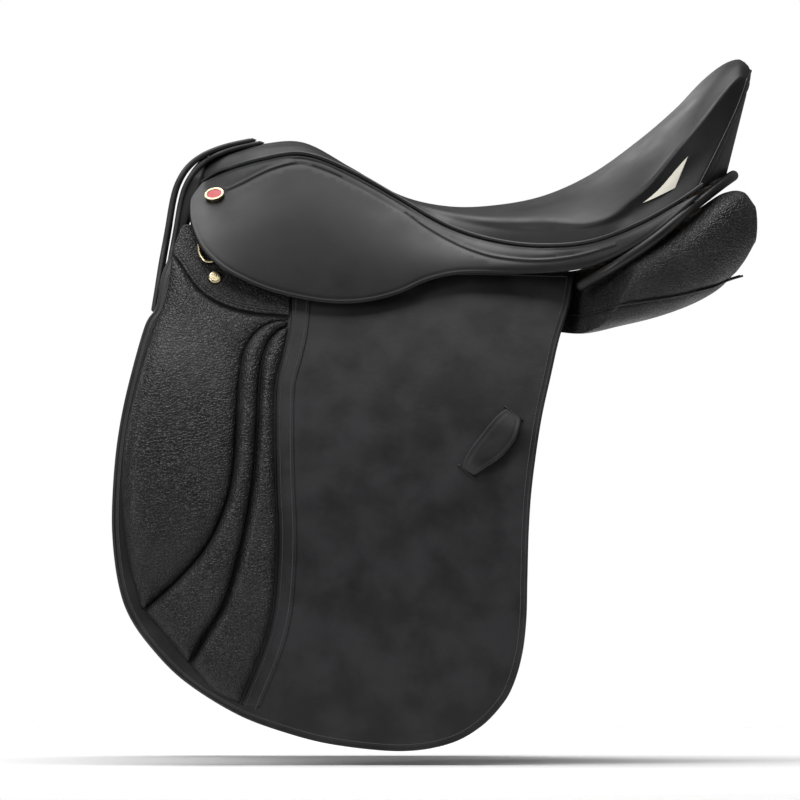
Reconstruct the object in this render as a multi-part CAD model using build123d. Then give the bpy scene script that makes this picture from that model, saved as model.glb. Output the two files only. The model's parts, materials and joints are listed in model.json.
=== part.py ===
"""A deep-seated dressage saddle, in millimetres.

+X runs from the pommel to the cantle, +Y is the horse's right side and +Z is up. The origin is in the middle
of the channel, at the height of the panels' lowest rear stretch. The left side is modelled, at negative Y, and
mirrored. Below the seat every layer (panel, sweat flap, girth straps, flap, pads) is a slice of one family of
cylinders that share an axis parallel to X, so that layers of different radius never meet.
"""

import os
from math import cos, pi, radians, sin, sqrt

from build123d import *

# ---------------------------------------------------------------- driving dimensions
REACH = 300.0  # half the size of a block that spans the whole saddle
BARREL_Y, BARREL_Z = 439.0, -300.0  # axis of the left side's cylinders, seen along X
CHANNEL_HALF = 34.0  # half the width of the channel over the spine

PANEL_R = (598.0, 625.5)  # inner and outer radius of the panel's front part
SWEAT_R = (626.5, 629.5)
STRAP_R = (631.5, 635.5)
FLAP_R = (638.0, 643.0)
PAD_FACE_R = 643.2  # where pads and covers start, just clear of the flap
COVER_R = (PAD_FACE_R, 645.2)
SKIRT_T = 3.5
SKIN_T = 2.5  # seat leather
GAP = 0.3

FLAP_HINGE_Z = 4.0
FLAP_LIFT = 70.0  # degrees
BOLD_NOTCH = FLAP_LIFT / 2 + 1.0  # half angle of the notch that lets the pads fold, in degrees
SKIRT_FOLD = ((-199.0, 90.0), (2.0, 44.0))  # X and Z of the skirt's fold line
SKIRT_SLOPE = 31.0  # slope of the skirt near its fold line, in degrees from the vertical
SKIRT_FOLD_Y = (95.0, 124.0)  # distance from the middle plane at those two points

# Seat: X, top on the middle plane, ridge (distance out, height), seam with the skirt (distance out, height).
SEAT = (
    (-188, 138, 30, 136, 47, 124),
    (-165, 145, 34, 143, 54, 132),
    (-140, 152, 38, 149, 58, 139),
    (-107, 153, 40, 150, 60, 143),
    (-69, 133, 45, 132, 65, 129),
    (-28, 110, 57, 109, 75, 106),
    (11, 101, 70, 97, 88, 84),
    (50, 102, 84, 92, 100, 72),
    (90, 110, 98, 92, 113, 68),
    (129, 128, 112, 92, 124, 72),
    (168, 156, 117, 112, 130, 87),
    (198, 182, 107, 147, 125, 104),
    (218, 203, 92, 171, 115, 118),
    (236, 217, 70, 194, 98, 134),
    (250, 221, 48, 207, 76, 150),
    (264, 214, 30, 205, 56, 165),
)
# Lower course that the skirt's surface is stretched to: X, distance out, height.
SKIRT_LOW = (
    (-210, 114, 60),
    (-165, 122, 40),
    (-107, 129, 20),
    (-50, 129, 20),
    (5, 124, 36),
    (60, 121, 38),
    (115, 126, 40),
    (170, 137, 60),
    (228, 130, 100),
)
SKIRT_BULGE = 5.0
# Panel, behind the middle of the seat: X, centre (distance out, height), half width, half height, tilt.
PANEL = (
    (40, 68, 26, 34, 14, -12),
    (80, 80, 25, 46, 20, -11),
    (118, 90, 23, 55, 24, -8),
    (150, 93, 34, 57, 29, -8),
    (185, 92, 47, 57, 34, -6),
    (215, 87, 61, 52, 37, -3),
    (237, 80, 75, 44, 37, 0),
    (252, 75, 84, 33, 28, 0),
    (260, 72, 86, 20, 16, 0),
)
PANEL_FULLNESS = 2.6
# Tree rail: X, centre (distance out, height), fall to the outside in degrees.
RAIL = (
    (-167.7, 44, 110, 62),
    (-110, 55, 102, 60),
    (-60, 61, 88, 52),
    (0, 70, 70, 40),
    (60, 79, 58, 20),
    (115, 91, 62, 5),
    (170, 97, 84, 0),
    (196, 89, 99, 0),
)
RAIL_W, RAIL_T = 30.0, 9.0

BACK_FOOT_X, BACK_FOOT_Z = 238.0, 125.0  # where the cantle's back meets the rear roll
BACK_LEAN = 0.25  # how far the back moves rearward per millimetre of height
BACK_PLAN_R = 312.0

BRASS_STUD = (-178.8, 42.3)
BADGE = (-178.8, 109.0)
DEE_X, DEE_Z, DEE_R = -184.0, 69.0, 649.0
DEE_REST = 34.0  # the ring's slant from the vertical when it lies against the flap
STIRRUP_BAR_X = (-149.0, -66.0)
CATCH_PIN = (-61.3, 56.5)
KEEPER_FEET = ((31.0, -104.0), (62.0, -71.0))

os.makedirs("parts", exist_ok=True)


# ---------------------------------------------------------------- helpers
def course(table, x, column):
    """Cubic (Catmull-Rom) reading of one column of a table whose first column is X."""
    x = max(table[0][0], min(table[-1][0], x))
    i = max(1, min(len(table) - 1, sum(row[0] <= x for row in table)))
    a, b = table[i - 1], table[i]
    before, after = table[max(i - 2, 0)], table[min(i + 1, len(table) - 1)]
    span = b[0] - a[0]
    slope_a = (b[column] - before[column]) / (b[0] - before[0]) * span
    slope_b = (after[column] - a[column]) / (after[0] - a[0]) * span
    t = (x - a[0]) / span
    return (
        (2 * t**3 - 3 * t**2 + 1) * a[column]
        + (t**3 - 2 * t**2 + t) * slope_a
        + (3 * t**2 - 2 * t**3) * b[column]
        + (t**3 - t**2) * slope_b
    )


def out_at(radius, z):
    """Distance from the middle plane of a layer of that radius, at height z."""
    return sqrt(radius**2 - (z - BARREL_Z) ** 2) - BARREL_Y


def normal_at(radius, z):
    """Outward direction of the left side's layers at height z."""
    return Vector(0, -(out_at(radius, z) + BARREL_Y) / radius, (z - BARREL_Z) / radius)


def on_layer(x, radius, z):
    return Vector(x, -out_at(radius, z), z)


def loop(*stretches):
    """Closed wire from stretches of 3-D points: two points give a line, more give a spline."""
    edges = []
    for points in stretches:
        points = [Vector(*p) for p in points]
        edges.append(Edge.make_line(*points) if len(points) == 2 else Edge.make_spline(points))
    return Wire(edges)


def prism(*stretches, y=(-REACH, 0.0)):
    """Block with an outline drawn in X and Z, running across the saddle from y[0] to y[1]."""
    wire = loop(*[[(x, y[0], z) for x, z in points] for points in stretches])
    return Solid.extrude(Face(wire), Vector(0, y[1] - y[0], 0))


def polygon_prism(points, y=(-REACH, 0.0)):
    wire = Wire.make_polygon([Vector(x, y[0], z) for x, z in points], close=True)
    return Solid.extrude(Face(wire), Vector(0, y[1] - y[0], 0))


def slab(points, x):
    """Block with an outline drawn in Y and Z, running from x[0] to x[1]."""
    wire = Wire.make_polygon([Vector(x[0], y, z) for y, z in points], close=True)
    return Solid.extrude(Face(wire), Vector(x[1] - x[0], 0, 0))


def block(x, y, z):
    return Solid.make_box(
        x[1] - x[0], y[1] - y[0], z[1] - z[0], Plane(Vector(x[0], y[0], z[0]))
    )


def drum(radius):
    ends = Plane(Vector(-REACH, BARREL_Y, BARREL_Z), z_dir=(1, 0, 0))
    return Solid.make_cylinder(radius, 2 * REACH, ends)


def layer(radii):
    return drum(radii[1]) - drum(radii[0])


def solid_of(shape):
    """The one solid of a boolean's result, with slivers left out."""
    return max(shape.solids(), key=lambda s: s.volume)


def mirrored(shape):
    return mirror(shape, about=Plane.XZ)


def save(name, *solids):
    shape = solids[0] if len(solids) == 1 else Compound(children=list(solids))
    export_step(shape, f"parts/{name}.step")
    print(name, "saved", len(solids))


def save_both(name, *solids):
    """One node that holds the left solids and their mirror images."""
    save(name, *solids, *[solid_of(mirrored(s)) for s in solids])


def save_pair(name, *solids):
    save(f"left_{name}", *solids)
    save(f"right_{name}", *[solid_of(mirrored(s)) for s in solids])


# ---------------------------------------------------------------- outlines, as X and Z
FLAP_EDGE = (
    (114, 46), (109.4, 19), (101, -8), (94.3, -37), (85.8, -76), (78.8, -125), (76, -162),
    (74.8, -203), (74, -233), (71, -260), (64.5, -284), (55, -302), (36, -321.5), (10, -335),
    (-28, -340.5), (-80, -335.6), (-120, -325.9), (-161, -310.4), (-203, -284), (-230, -257),
    (-248, -231), (-257, -203), (-261.5, -165), (-261, -128), (-257.5, -90), (-250, -50),
    (-236, 1.5), (-227, 17), (-222.5, 42), (-213, 66), (-206, 84),
)  # fmt: skip
FLAP_TOP = ((-206, 84), (-168, 84), (-163, 46), (-50, 46), (-42, 54), (-10, 48), (40, 48), (114, 46))
SWEAT_EDGE = (
    (96, 45), (86, 0), (76, -60), (68, -120), (64, -200), (56, -255), (30, -293), (-25, -313),
    (-95, -308), (-165, -284), (-218, -245), (-242, -200), (-249, -145), (-244, -85), (-233, -30),
    (-226, 8), (-216, 45),
)  # fmt: skip
PANEL_FRONT_EDGE = (
    (-210, 82), (-212, 74), (-216.5, 54), (-221, 30), (-227, 10), (-230, -20),
    (-218, -52), (-180, -70), (-110, -72), (-40, -58), (20, -34), (60, -8), (72, 20),
)  # fmt: skip
COVER_EDGE = (
    (-214, 62), (-206, 52), (-195, 36), (-181, 24.5), (-163, 17), (-146, 13.5), (-130, 12), (-118, 11),
)  # fmt: skip
SKIRT_EDGE = (
    (215, 112), (208, 104.5), (188, 86), (168, 70.5), (139, 55.5), (110, 48), (70, 45.5), (23, 46),
    (-5, 40.5), (-28, 30.5), (-52, 24), (-76, 22), (-102, 24.5), (-134, 32), (-162, 44), (-179, 55.5),
    (-191, 69), (-198.5, 87), (-200, 102), (-198, 110), (-190, 121),
)  # fmt: skip
GROOVE_A = (
    (-138, 4), (-150, -9), (-155, -25), (-159, -56), (-162, -102), (-166, -126), (-172, -149),
    (-184, -170), (-202, -193), (-223, -214), (-238, -227),
)  # fmt: skip
GROOVE_B = (
    (-127, 0), (-140, -27), (-142, -45), (-145, -76), (-147, -115), (-151, -149), (-158, -188),
    (-168, -219), (-186, -248), (-200, -271),
)  # fmt: skip
SEAM_C = (
    (-120, 4), (-123, -14), (-127, -37), (-129, -63), (-130, -100), (-128, -154), (-127, -193),
    (-130, -227), (-137, -253), (-147, -276), (-158, -300),
)  # fmt: skip


# ---------------------------------------------------------------- leather and soft layers
def flap_blank():
    return layer(FLAP_R) & prism(FLAP_EDGE, *zip(FLAP_TOP[:-1], FLAP_TOP[1:]))


def below(z):
    return block((-REACH, REACH), (-REACH, 0), (-2 * REACH, z))


def above(z):
    return block((-REACH, REACH), (-REACH, 0), (z, 2 * REACH))


def below_fold():
    """Everything on the lower side of a cut square to the flap along its fold line."""
    hinge = on_layer(0, FLAP_R[1], FLAP_HINGE_Z)
    normal = normal_at(FLAP_R[1], FLAP_HINGE_Z)
    inner_y, inner_z = hinge.Y - normal.Y * 60, hinge.Z - normal.Z * 60
    corners = [(hinge.Y, hinge.Z), (inner_y, inner_z), (inner_y, -590), (-290, -590), (-290, hinge.Z)]
    return slab(corners, (-REACH, REACH))


def fold_notch():
    """Wedge along the flap's fold line, open to the outside, that the pads keep clear of."""
    apex = on_layer(0, FLAP_R[1] - GAP, FLAP_HINGE_Z)
    middle = normal_at(FLAP_R[1], FLAP_HINGE_Z)
    points = [(apex.Y, apex.Z)]
    for turn in (-BOLD_NOTCH, BOLD_NOTCH):
        edge = middle.rotate(Axis.X, turn)
        points.append((apex.Y + edge.Y * 90, apex.Z + edge.Z * 90))
    return slab(points, (-REACH, REACH))


def flap_top():
    return solid_of((flap_blank() & above(FLAP_HINGE_Z + GAP)) - dee_tail(12.0, 2.6, 630.0))


def flap():
    return solid_of(flap_blank() & below_fold())


def pad(depth, *stretches):
    cushion = layer((PAD_FACE_R, PAD_FACE_R + depth)) & prism(*stretches)
    return solid_of(cushion & below(FLAP_HINGE_Z - GAP) - fold_notch())


def knee_pad():
    """The big padded front of the flap, from the fold line to the first groove."""
    front = (
        (-247, -212), (-251, -195), (-253.5, -175), (-254.5, -150), (-253, -115), (-249, -80),
        (-242, -45), (-231, -5), (-229, 4),
    )  # fmt: skip
    inner = [(x - 2.5, z) for x, z in GROOVE_A]
    return pad(18.0, front, ((-229, 4), inner[0]), inner, (inner[-1], front[0]))


def middle_roll():
    left = [(x + 2.5, z) for x, z in reversed(GROOVE_A[1:])]
    right = [(x - 2.0, z) for x, z in GROOVE_B]
    return pad(13.0, left, (left[-1], right[0]), right, (right[-1], left[0]))


def rear_roll():
    left = [(x + 2.0, z) for x, z in reversed(GROOVE_B)]
    right = [(x - 1.0, z) for x, z in SEAM_C]
    return pad(12.0, left, (left[-1], right[0]), right, (right[-1], left[0]))


def knee_pad_top():
    """The thin top of the front pad, above the fold line and below the point cover."""
    upper = [(x, z - 2.5) for x, z in COVER_EDGE]
    front = ((-214, 59.5), (-220, 44), (-225, 17), (-229, 4.5))
    shape = layer((PAD_FACE_R, PAD_FACE_R + 8.0)) & prism(
        upper, (upper[-1], (-118, 4.5)), ((-118, 4.5), (-229, 4.5)), tuple(reversed(front))
    )
    return solid_of(shape - fold_notch())


def point_cover():
    """Thin leather over the flap's front top, under the skirt."""
    corners = ((-118, 11), (-118, 43), (-162.5, 43), (-169, 83), (-207, 83), (-214, 62))
    cover = layer(COVER_R) & prism(COVER_EDGE, *zip(corners[:-1], corners[1:]))
    return solid_of(cover - dee_tail(12.0, 2.6, 630.0))


def sweat_flap():
    return solid_of(layer(SWEAT_R) & prism(SWEAT_EDGE, (SWEAT_EDGE[-1], SWEAT_EDGE[0])))


def girth_strap(x, width=25.0, top=38.0, tip=-285.0):
    """Strap between sweat flap and flap, with a row of buckle holes and a pointed end."""
    half = width / 2
    strap = layer(STRAP_R) & polygon_prism(
        [(x - half, top), (x - half, tip + 14), (x - 5, tip), (x + 5, tip), (x + half, tip + 14), (x + half, top)]
    )
    for i in range(8):
        z = tip + 40 + 25 * i
        centre = on_layer(x, STRAP_R[0], z)
        axis = normal_at(STRAP_R[0], z)
        strap -= Solid.make_cylinder(2.5, 24, Plane(centre - axis * 12, z_dir=axis))
    return solid_of(strap)


def point_pocket():
    """Leather pocket on the sweat flap that holds the tip of the tree's point."""
    outer = layer((SWEAT_R[1] + 0.2, FLAP_R[0] - 0.4)) & polygon_prism(
        [(-206, 18), (-204, -26), (-196, -34), (-166, -34), (-158, -26), (-156, 18)]
    )
    hollow = layer((631.1, 636.0)) & polygon_prism([(-194, 30), (-194, -24), (-166, -24), (-166, 30)])
    return solid_of(outer - hollow)


def panel_section(x):
    out, height, wide, tall, tilt = [course(PANEL, x, i) for i in range(1, 6)]
    points = []
    for i in range(16):
        a = 2 * pi * i / 16
        u = wide * abs(cos(a)) ** (2 / PANEL_FULLNESS) * (1 if cos(a) >= 0 else -1)
        v = tall * abs(sin(a)) ** (2 / PANEL_FULLNESS) * (1 if sin(a) >= 0 else -1)
        t = radians(tilt)
        points.append(Vector(x, -(out + u * cos(t) - v * sin(t)), height + u * sin(t) + v * cos(t)))
    return Wire([Edge.make_spline(points, periodic=True)])


def rear_panel():
    return Solid.make_loft([panel_section(row[0]) for row in PANEL])


GUSSET_LINE = ((104, 9), (149, 20.5), (188, 27), (228, 37), (270, 50))


def panel_blank():
    top = ((72, 20), (72, 45), (20, 45), (-40, 62), (-80, 82), (-210, 82))
    front = layer(PANEL_R) & prism(PANEL_FRONT_EDGE, *zip(top[:-1], top[1:]))
    front = front & block((-REACH, REACH), (-REACH, -CHANNEL_HALF), (-REACH, REACH))
    outside = drum(2 * REACH + 200) - drum(PANEL_R[1])
    rear = rear_panel() - (outside & block((-REACH, 117.0), (-REACH, 0), (-REACH, REACH)))
    return front + rear - rear_roll_tube(ROLL_R + 0.5)


def gusset_zone():
    corners = (GUSSET_LINE[-1], (270, -60), (104, -60), GUSSET_LINE[0])
    return prism(GUSSET_LINE, *zip(corners[:-1], corners[1:]))


# ---------------------------------------------------------------- rear roll and piping
ROLL_R = 4.6
ROLL_PATH = (
    (119, -122, 36), (148, -139, 53), (180, -138, 75), (208, -122, 99), (231, -84, 117), (242.5, -32, 125),
)  # fmt: skip


def bends(points):
    """Radii for the corners of a route: each as large as its two runs allow."""
    found = []
    for a, b, c in zip(points, points[1:], points[2:]):
        u, v = b - a, c - b
        turn = radians(u.get_angle(v)) / 2
        found.append(0.45 * min(u.length, v.length) * cos(turn) / sin(turn))
    return found


def tube(points, radius):
    route = FilletPolyline(*points, radius=bends([Vector(*p) for p in points]))
    start = Plane(route @ 0, z_dir=route % 0)
    return Solid.sweep(Face(Wire.make_circle(radius, start)), path=route.wire())


def rear_roll_tube(radius):
    return tube([*ROLL_PATH, *[(x, -y, z) for x, y, z in reversed(ROLL_PATH)]], radius)


PIPING_R = 2.0


def piping_points():
    xs = [-186 + 402 * i / 19 for i in range(20)]
    return [(x, -(course(SEAT, x, 4) - 0.3), course(SEAT, x, 5) + 1.2) for x in xs]


# ---------------------------------------------------------------- seat
def seat_section(x, inset, drop):
    """Closed section of the seat at x: crowned top, ridges, side walls and a flat underside."""
    top, ridge_y, ridge_z, seam_y, seam_z = [course(SEAT, x, i) for i in range(1, 6)]
    seam_y -= 4.2 + inset
    foot = seam_z - drop
    half = [
        (seam_y, seam_z),
        ((ridge_y + seam_y) / 2 + 1.5, (ridge_z + seam_z) / 2),
        (ridge_y - inset, ridge_z - inset),
        (ridge_y * 0.55, ridge_z + (top - ridge_z) * 0.72 - inset),
        (0.0, top - inset),
    ]
    outline = [(-y, z) for y, z in half] + [(y, z) for y, z in reversed(half[:-1])]
    sides = [(x, y, z) for y, z in outline]
    left_foot, right_foot = (x, -seam_y, foot), (x, seam_y, foot)
    return loop(sides, (sides[-1], right_foot), (right_foot, left_foot), (left_foot, sides[0]))


def seat_loft(inset, drop, x0, x1):
    xs = [x0] + [row[0] for row in SEAT[1:-1]] + [x1]
    return Solid.make_loft([seat_section(x, inset, drop) for x in xs])


def back_zone(offset):
    """Everything ahead of the cantle's back, moved by offset along X."""
    foot_x = BACK_FOOT_X + offset - BACK_LEAN * (BACK_FOOT_Z + 100)
    centre = Vector(foot_x - BACK_PLAN_R, 0, -100)
    disc = Face(Wire.make_circle(BACK_PLAN_R, Plane(centre)))
    zone = Solid.extrude(disc, Vector(BACK_LEAN * 400, 0, 400))
    return zone + block((-400, 100), (-REACH, REACH), (-100, 300))


def seat_cover():
    outer = seat_loft(0.0, 1.0, -188, 264)
    inner = seat_loft(SKIN_T, 6.0, -185.5, 264)
    return solid_of(((outer - inner) & back_zone(0.0)) - rear_roll_tube(ROLL_R + GAP))


FOAM_FLOOR = (
    (-190, 129.5), (-165, 130), (-110, 132), (-60, 109), (-28, 97), (11, 86), (50, 84), (90, 86),
    (129, 92), (168, 103), (198, 117), (218, 127), (270, 150),
)  # fmt: skip


def seat_foam():
    blank = seat_loft(SKIN_T + 2.0, 6.0, -185.5, 264) & block((-183.5, REACH), (-REACH, REACH), (0, REACH))
    corners = (FOAM_FLOOR[-1], (270, 300), (-190, 300), FOAM_FLOOR[0])
    room = prism(FOAM_FLOOR, *zip(corners[:-1], corners[1:]), y=(-REACH, REACH))
    return solid_of((blank & room & back_zone(-18.0)) & seat_loft(SKIN_T + 0.4, 6.0, -185.5, 264))


def arch(half_width, foot, height, x=(150.0, 300.0)):
    """Half-ellipse block that stands across the saddle."""
    points = [(half_width * cos(pi * i / 24), foot + height * sin(pi * i / 24)) for i in range(25)]
    return slab(points, x)


def cantle_board():
    """Slanted curved board under the cantle's rim."""
    blank = back_zone(-8.0) - back_zone(-17.0)
    return solid_of(blank & arch(94, 106, 96))


def cantle_back():
    """Leather back of the cantle, behind the board."""
    back = (back_zone(2.8) - back_zone(0.3)) & arch(104, 122, 93)
    return solid_of(back - rear_roll_tube(ROLL_R + GAP))


# ---------------------------------------------------------------- skirt
def skirt_out(x, z):
    top_y, top_z = course(SEAT, x, 4), course(SEAT, x, 5)
    low_y, low_z = course(SKIRT_LOW, x, 1), course(SKIRT_LOW, x, 2)
    t = (top_z - z) / (top_z - low_z)
    return top_y + (low_y - top_y) * t + SKIRT_BULGE * sin(pi * max(0, min(1, t)))


def skirt_section(x):
    top_z = course(SEAT, x, 5) + 4
    low_z = course(SKIRT_LOW, x, 2) - 4
    heights = [top_z + (low_z - top_z) * i / 6 for i in range(7)]
    outer = [(x, -skirt_out(x, z), z) for z in heights]
    inner = [(x, -skirt_out(x, z) + SKIRT_T, z) for z in reversed(heights)]
    return loop(outer, (outer[-1], inner[0]), inner, (inner[-1], outer[0]))


def skirt_blank():
    xs = [-212, -188, -165, -140, -107, -78, -50, -22, 5, 32, 60, 88, 115, 142, 170, 198, 222]
    sheet = Solid.make_loft([skirt_section(x) for x in xs])
    seam = [(x, course(SEAT, x, 5) - 2.4) for x in range(-166, 200, 24)]
    return sheet & prism(SKIRT_EDGE, (SKIRT_EDGE[-1], *seam, SKIRT_EDGE[0]))


def skirt_fold(shift):
    """Block below the fold line, cut square to the skirt and moved down by shift."""
    (x0, z0), (x1, z1) = SKIRT_FOLD
    start, end = Vector(x0, -SKIRT_FOLD_Y[0], z0 - shift), Vector(x1, -SKIRT_FOLD_Y[1], z1 - shift)
    along = end - start
    corners = [start - along * 0.3, end + along * 0.4]
    corners += [corners[1] - Vector(0, 0, 160), corners[0] - Vector(0, 0, 160)]
    inward = Vector(0, cos(radians(SKIRT_SLOPE)), -sin(radians(SKIRT_SLOPE)))
    face = Face(Wire.make_polygon([c - inward * 90 for c in corners], close=True))
    return Solid.extrude(face, inward * 140)


def skirt_lobe():
    return solid_of(skirt_blank() & skirt_fold(GAP))


def skirt_top():
    return solid_of(skirt_blank() - skirt_fold(0.0) - rear_roll_tube(ROLL_R + GAP))


# ---------------------------------------------------------------- tree
def rail_section(x):
    out, height, fall = [course(RAIL, x, i) for i in range(1, 4)]
    a = radians(fall)
    along, up = (cos(a), -sin(a)), (sin(a), cos(a))
    corners = []
    for s, t in ((-1, 1), (1, 1), (1, -1), (-1, -1)):
        y = out + along[0] * s * RAIL_W / 2 + up[0] * t * RAIL_T / 2
        z = height + along[1] * s * RAIL_W / 2 + up[1] * t * RAIL_T / 2
        corners.append(Vector(x, -y, z))
    return Wire.make_polygon(corners, close=True)


def tree_rail():
    return Solid.make_loft([rail_section(row[0]) for row in RAIL])


def band(half_outer, half_inner, x):
    """Arch-shaped plate across the saddle, from the outer and inner half profiles (distance out, height)."""
    outer = [(-y, z) for y, z in half_outer] + [(y, z) for y, z in reversed(half_outer[:-1])]
    inner = [(y, z) for y, z in half_inner] + [(-y, z) for y, z in reversed(half_inner[:-1])]
    left, right = outer[0], outer[-1]
    at = x[0]
    wire = loop(
        [(at, *p) for p in outer],
        [(at, *right), (at, *inner[0])],
        [(at, *p) for p in inner],
        [(at, *inner[-1]), (at, *left)],
    )
    return Solid.extrude(Face(wire), Vector(x[1] - x[0], 0, 0))


def leg(radius, heights):
    return [(out_at(radius, z), z) for z in heights]


def tree_head():
    outer = leg(635.6, (-20, 10, 38)) + [(86, 60), (68, 86), (48, 108), (26, 117), (0, 121)]
    inner = leg(631.5, (-20, 10, 38)) + [(78.5, 60), (60.5, 84), (43.2, 96), (24, 105), (0, 108.5)]
    return band(outer, inner, (-192.0, -168.0))


def head_plate():
    outer = [(81, 62), (66, 84), (47, 104), (26, 113), (0, 117)]
    inner = [(77, 58), (62, 80), (44, 97), (25, 106), (0, 110)]
    return band(outer, inner, (-194.8, -192.2))


def gullet_plate():
    outer = [(77.2, 59.4), (59.0, 83.6), (42.0, 94.7), (23.2, 103.4), (0, 107)]
    inner = [(76.2, 58.4), (58.0, 82.6), (41.2, 93.5), (22.4, 102.0), (0, 105.5)]
    return band(outer, inner, (-190.0, -169.0))


def spring_steel():
    """Spring strip along the rail's upper face."""
    strips = []
    for x, out, height, fall in RAIL[1:-1]:
        a = radians(fall)
        lift = RAIL_T / 2 + 1.0
        corners = []
        for s, t in ((-6, 1.6), (6, 1.6), (6, 0.0), (-6, 0.0)):
            y = out + cos(a) * s + sin(a) * (lift + t)
            z = height - sin(a) * s + cos(a) * (lift + t)
            corners.append(Vector(x, -y, z))
        strips.append(Wire.make_polygon(corners, close=True))
    return Solid.make_loft(strips)


BAR_Z = (52.0, 61.0)
BAR_R = (647.0, 651.8)
CATCH_AXIS_R = 649.75  # radius of the layer whose normal at the pin is the axis that the catch turns on
PLATE_R = (633.0, 636.0)
CATCH_PIN_R, CATCH_LENGTH = 4.1, 22.0


def stirrup_bar():
    """Forged bar: a plate on the tree, a block at its front and a finger that is open to the rear."""
    plate = layer(PLATE_R) & polygon_prism([(-160, 48), (-60, 48), (-60, 62), (-110, 80), (-160, 80)])
    root = layer((PLATE_R[1] - 1, BAR_R[1])) & polygon_prism([(-160, 50), (-149, 50), (-149, 63), (-160, 63)])
    x0, x1 = STIRRUP_BAR_X
    finger = layer(BAR_R) & polygon_prism([(x0 - 2, BAR_Z[0]), (x1, BAR_Z[0]), (x1, BAR_Z[1]), (x0 - 2, BAR_Z[1])])
    return solid_of(plate + root + finger)


def bar_catch():
    """Thumb piece in line with the bar that closes its open end by turning up about a pin through its front."""
    x, z = CATCH_PIN
    normal = normal_at(CATCH_AXIS_R, z)
    base = Plane(on_layer(x, CATCH_AXIS_R, z) - normal * 15, x_dir=(1, 0, 0), z_dir=normal)
    eye = Solid.make_cylinder(CATCH_PIN_R, 30, base)
    outline = [(0, -3.4), (CATCH_LENGTH, -3.4), (CATCH_LENGTH, 2.4), (0, 3.4)]
    corners = [base.from_local_coords(Vector(along, up, 0)) for along, up in outline]
    arm = Solid.extrude(Face(Wire.make_polygon(corners, close=True)), normal * 30)
    return solid_of((layer(BAR_R) & eye) + (layer(BAR_R) & arm))


def bar_rivets():
    rivets = []
    for x in (-153.0, -132.0, -112.0):
        z = 71.0
        axis = normal_at(PLATE_R[1], z)
        rivets.append(Solid.make_cylinder(3.5, 2.0, Plane(on_layer(x, PLATE_R[1] + 0.1, z), z_dir=axis)))
    return rivets


# ---------------------------------------------------------------- webbing
def strip(half_points, thickness, x):
    """Band of even thickness across the saddle; half_points run from the left end to the middle."""
    path = [Vector(0, -y, z) for y, z in half_points]
    path += [Vector(0, y, z) for y, z in reversed(half_points[:-1])]
    lower, upper = [], []
    for i, p in enumerate(path):
        a, b = path[max(i - 1, 0)], path[min(i + 1, len(path) - 1)]
        along = (b - a).normalized()
        up = Vector(0, -along.Z, along.Y)
        lower.append((p.Y, p.Z))
        upper.append((p.Y + up.Y * thickness, p.Z + up.Z * thickness))
    return slab(upper + lower[::-1], x)


def front_girth_web():
    """Web that passes inside the rails and carries the front straps."""
    rise = [(out_at(r, z), z) for r, z in ((631.8, 40), (630.6, 48), (627.8, 60), (626.6, 76))]
    return strip([*rise, (54, 88), (43, 102), (36, 113), (28, 120), (14, 125), (0, 126)], 1.5, (-118, -84))


def rear_girth_web():
    """Web that passes over the rails and carries the rear straps."""
    rise = [(out_at(631.8, 40), 40), (out_at(632.5, 46), 46), (93.5, 57), (93.5, 61)]
    return strip([*rise, (89, 70), (80, 78), (62, 80.5), (30, 80), (0, 80)], 1.5, (10, 36))


SEAT_WEB = ((-168, 117), (-110, 112), (-60, 98), (0, 70), (60, 58), (120, 62), (170, 82), (203, 103))


def seat_web():
    upper = [(x, z) for x, z in SEAT_WEB]
    lower = [(x, z - 2.0) for x, z in reversed(SEAT_WEB)]
    return prism(upper, (upper[-1], lower[0]), lower, (lower[-1], upper[0]), y=(-24.0, 24.0))


# ---------------------------------------------------------------- front facing
FACING_LINE = (
    (-146, 157.5), (-171, 152), (-190, 144.5), (-203, 134.5), (-211.5, 121), (-216, 106), (-220, 82),
    (-225, 54), (-228, 34), (-231, 15),
)  # fmt: skip


def facing(depth, thickness, outer, inner):
    """Arched leather flange in front of the pommel: a curved strip in side view, an arch seen from the front."""
    front = [(x + depth, z - depth * 0.35) for x, z in FACING_LINE]
    back = [(x + thickness, z - thickness * 0.45) for x, z in reversed(front)]
    side = prism(front, (front[-1], back[0]), back, (back[-1], front[0]), y=(-REACH, REACH))
    return solid_of((side & band(outer, inner, (-260.0, -120.0))) - seat_loft(-GAP, 6.0, -188.0, 264))


def panel_facing():
    outer = [(115, 14), (99.5, 40), (79, 70), (66, 98), (54, 125), (38, 147), (20, 157), (0, 160)]
    inner = [(96, 14), (81, 40), (65, 66), (54, 88), (44, 106), (32, 119), (16, 126), (0, 128)]
    return facing(0.0, 5.0, outer, inner)


def pommel_facing():
    outer = [(99, 40), (92, 52), (77, 72), (64, 98), (51, 124), (36, 145), (19, 155), (0, 158)]
    inner = [(94, 36), (85, 48), (69, 66), (56, 90), (45, 110), (32, 125), (16, 131), (0, 133)]
    return facing(6.0, 5.0, outer, inner)


# ---------------------------------------------------------------- small fittings
def stud():
    x, z = BRASS_STUD
    axis = normal_at(COVER_R[1], z)
    head = Solid.make_cylinder(5.6, 2.6, Plane(on_layer(x, COVER_R[1] + 0.1, z), z_dir=axis))
    rim = [e for e in head.edges() if e.geom_type == GeomType.CIRCLE]
    return fillet(max(rim, key=lambda e: (e.center() - on_layer(x, COVER_R[1], z)).dot(axis)), 1.6).solid()


def skirt_plane(x, z):
    """Plane on the skirt's outer face, its normal pointing out."""
    step = 4.0
    here = Vector(x, -skirt_out(x, z), z)
    up = Vector(x, -skirt_out(x, z + step), z + step) - here
    along = Vector(x + step, -skirt_out(x + step, z), z) - here
    return Plane(here, x_dir=along, z_dir=along.cross(up))


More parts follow.
